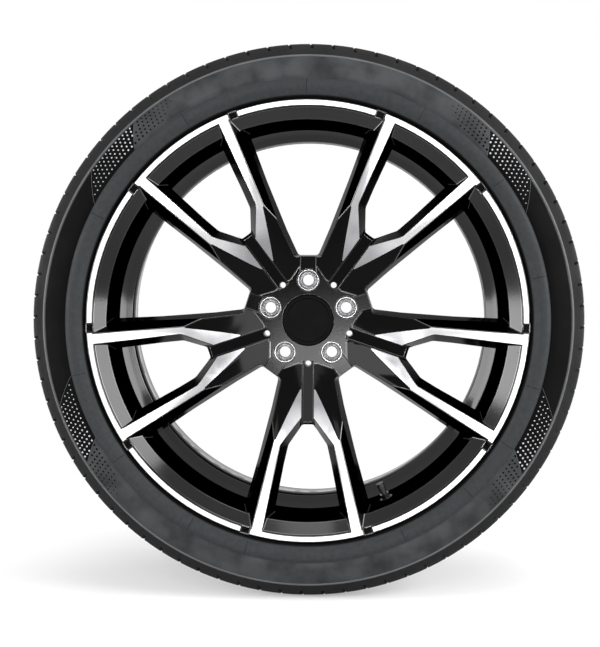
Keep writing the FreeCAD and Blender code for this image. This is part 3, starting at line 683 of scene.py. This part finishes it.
def make_wheel(materials):
    """The wheel's own solid with a finish for each face and rounded edges in a lighter copy of the paint, a
    painted highlight.
    """
    mesh = nodes["alloy_wheel"].data.copy()
    mesh.name = "spoked_wheel"
    mesh.materials.clear()
    for material in materials:
        mesh.materials.append(material)
    shape = bmesh.new()
    shape.from_mesh(mesh)
    bmesh.ops.remove_doubles(shape, verts=shape.verts, dist=WELD_DISTANCE)
    for face in shape.faces:
        face.smooth = True
        face.material_index = wheel_finish(face)
    bmesh.ops.dissolve_limit(
        shape,
        angle_limit=math.radians(FLAT_ANGLE),
        verts=shape.verts,
        edges=shape.edges,
        delimit={"MATERIAL"},
    )
    mark_edges(shape, WHEEL_EDGE_ANGLE)
    shape.to_mesh(mesh)
    shape.free()
    piece = bpy.data.objects.new("spoked_wheel", mesh)
    bpy.context.scene.collection.objects.link(piece)
    edges = piece.modifiers.new("rounded_edges", "BEVEL")
    edges.width = WHEEL_EDGE_WIDTH
    edges.segments = WHEEL_EDGE_STEPS
    edges.limit_method = "ANGLE"
    edges.angle_limit = math.radians(WHEEL_EDGE_ANGLE)
    edges.use_clamp_overlap = False
    edges.harden_normals = True
    # The rounded edges take the lighter copy of the paint: a painted highlight along every edge.
    edges.material = EDGE_HIGHLIGHT
    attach(piece, "wheel")
    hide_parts("alloy_wheel")


def paint_node(name, material):
    mesh = nodes[name].data
    mesh.materials.clear()
    mesh.materials.append(material)


def make_spring(material):
    """The valve's spring as a piece of its own on the wheel's body, with a mesh of its own."""
    node = nodes["valve_spring"]
    coil = bpy.data.objects.new("valve_spring_coil", node.data.copy())
    bpy.context.scene.collection.objects.link(coil)
    coil.matrix_world = node.matrix_world.copy()
    coil.data.materials.clear()
    coil.data.materials.append(material)
    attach(coil, "wheel")
    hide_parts("valve_spring")
    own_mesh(coil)


def make_valve():
    for name in ("valve_stem", "valve_nut", "valve_washer"):
        paint_node(name, bare_metal(f"{name}_metal", (0.10, 0.10, 0.11), 0.3))
    paint_node("valve_seal", moulded("seal_rubber", 0.008, 0.015, 0.7))
    paint_node("valve_cap", moulded("valve_black", 0.006, 0.012, 0.4))
    paint_node("valve_core", bare_metal("core_brass", (0.78, 0.58, 0.27), 0.3))
    paint_node("valve_pin", bare_metal("pin_brass", (0.72, 0.53, 0.25), 0.28))
    make_spring(bare_metal("spring_steel", (0.55, 0.55, 0.57), 0.3))


def add_lamp(name, place, size, power):
    """A soft box that faces the wheel's centre."""
    lamp = bpy.data.lights.new(name, "AREA")
    lamp.shape = "RECTANGLE"
    lamp.size, lamp.size_y = size
    lamp.energy = power
    holder = bpy.data.objects.new(name, lamp)
    bpy.context.scene.collection.objects.link(holder)
    holder.location = place
    holder.rotation_euler = (-Vector(place)).to_track_quat("-Z", "Y").to_euler()


def make_world():
    """Pale surroundings, white where they are seen directly, mirrored or through glass."""
    world = bpy.data.worlds.new("studio")
    bpy.context.scene.world = world
    world.use_nodes = True
    tree = world.node_tree
    background = tree.nodes["Background"]
    path = tree.nodes.new("ShaderNodeLightPath")
    seen = path.outputs["Is Camera Ray"]
    for kind in ("Is Glossy Ray", "Is Transmission Ray"):
        either = tree.nodes.new("ShaderNodeMath")
        either.operation = "MAXIMUM"
        tree.links.new(seen, either.inputs[0])
        tree.links.new(path.outputs[kind], either.inputs[1])
        seen = either.outputs[0]
    strength = tree.nodes.new("ShaderNodeMapRange")
    tree.links.new(seen, strength.inputs["Value"])
    strength.inputs["To Min"].default_value = WORLD_LIGHT
    strength.inputs["To Max"].default_value = WORLD_SEEN
    tree.links.new(strength.outputs[0], background.inputs["Strength"])
    background.inputs["Color"].default_value = colour(1.0)


def make_floor():
    """A pale floor that keeps the shadow near the wheel and turns white away from it."""
    mesh = bpy.data.meshes.new("floor")
    corners = ((-1, -1), (1, -1), (1, 1), (-1, 1))
    points = [(x * FLOOR_HALF_SIDE, y * FLOOR_HALF_SIDE, -TYRE_RADIUS) for x, y in corners]
    mesh.from_pydata(points, [], [(0, 1, 2, 3)])
    floor = bpy.data.objects.new("floor", mesh)
    bpy.context.scene.collection.objects.link(floor)
    shading = Shading("pale_floor")
    shading.set(
        Base_Color=shading.blend(shading.noise(scale=3.0), 0.86, 0.90),
        Roughness=0.8,
        Specular_IOR_Level=0.1,
    )
    path = shading.add("ShaderNodeLightPath")
    glow = shading.add("ShaderNodeEmission")
    seen = shading.math("MAXIMUM", path.outputs["Is Camera Ray"], path.outputs["Is Transmission Ray"])
    seen = shading.math("MAXIMUM", seen, path.outputs["Is Glossy Ray"])
    away = shading.add("ShaderNodeVectorMath", operation="LENGTH")
    shading.put(away.inputs[0], shading.position)
    far = shading.spread(away.outputs["Value"], FLOOR_NEAR, FLOOR_FAR, FLOOR_GLOW, 1.0)
    mix = shading.add("ShaderNodeMixShader")
    shading.put(mix.inputs[0], shading.math("MULTIPLY", seen, far))
    shading.put(mix.inputs[1], shading.shader.outputs[0])
    shading.put(mix.inputs[2], glow.outputs[0])
    shading.put(shading.output.inputs["Surface"], mix.outputs[0])
    mesh.materials.append(shading.material)


def make_camera():
    camera = bpy.data.cameras.new("camera")
    camera.sensor_width = SENSOR
    camera.lens = FOCAL_PIXELS / PHOTO_HEIGHT * SENSOR
    holder = bpy.data.objects.new("camera", camera)
    bpy.context.scene.collection.objects.link(holder)
    pixel = CAMERA_DISTANCE / FOCAL_PIXELS
    aside = (PHOTO_CENTRE[0] - WHEEL_CENTRE_PIXEL[0]) * pixel
    above = (WHEEL_CENTRE_PIXEL[1] - PHOTO_CENTRE[1]) * pixel
    aim = Vector((aside, LIP_Y, above))
    holder.location = (CAMERA_ASIDE, LIP_Y - CAMERA_DISTANCE, CAMERA_ABOVE)
    holder.rotation_euler = (aim - holder.location).to_track_quat("-Z", "Y").to_euler()
    bpy.context.scene.camera = holder


def main():
    bpy.context.scene.view_settings.view_transform = "Standard"
    make_wheel([
        gloss_paint("gloss_black_paint", 0.007),
        turned_metal(),
        bare_metal("bolt_seat_metal", (0.48, 0.48, 0.49), 0.3),
        # Lighter copy of the paint for the rounded edges: a painted highlight.
        gloss_paint("edge_highlight_paint", 0.08),
        # Barrel copies of the paint: lighter on the lip wall and slope, a painted reflection, and without
        # grazing reflection on the wall, a painted shade.
        gloss_paint("barrel_painted_reflection", 0.032, edge_tint=0.6),
        gloss_paint("barrel_wall_painted_shade", 0.007, edge_tint=0.03),
    ])
    make_tyre([
        tyre_rubber(),
        moulded("light_dots", (0.16, 0.16, 0.17), (0.45, 0.45, 0.46), 0.35),
        moulded("black_dots", 0.0015, 0.003, 0.8, sheen=0.02),
        # Raised lines in lighter rubber: a painted highlight for the light their tops catch.
        moulded("raised_line_highlight", (0.045, 0.048, 0.05), (0.085, 0.088, 0.092), 0.45, sheen=0.2),
    ])
    cap_black = moulded("cap_black", 0.001, 0.002, 0.5, grain_scale=600.0, grain=0.05, sheen=0.05)
    paint_node("centre_cap", cap_black)
    make_valve()
    make_world()
    make_floor()
    make_camera()
    for lamp in LAMPS:
        add_lamp(*lamp)


main()
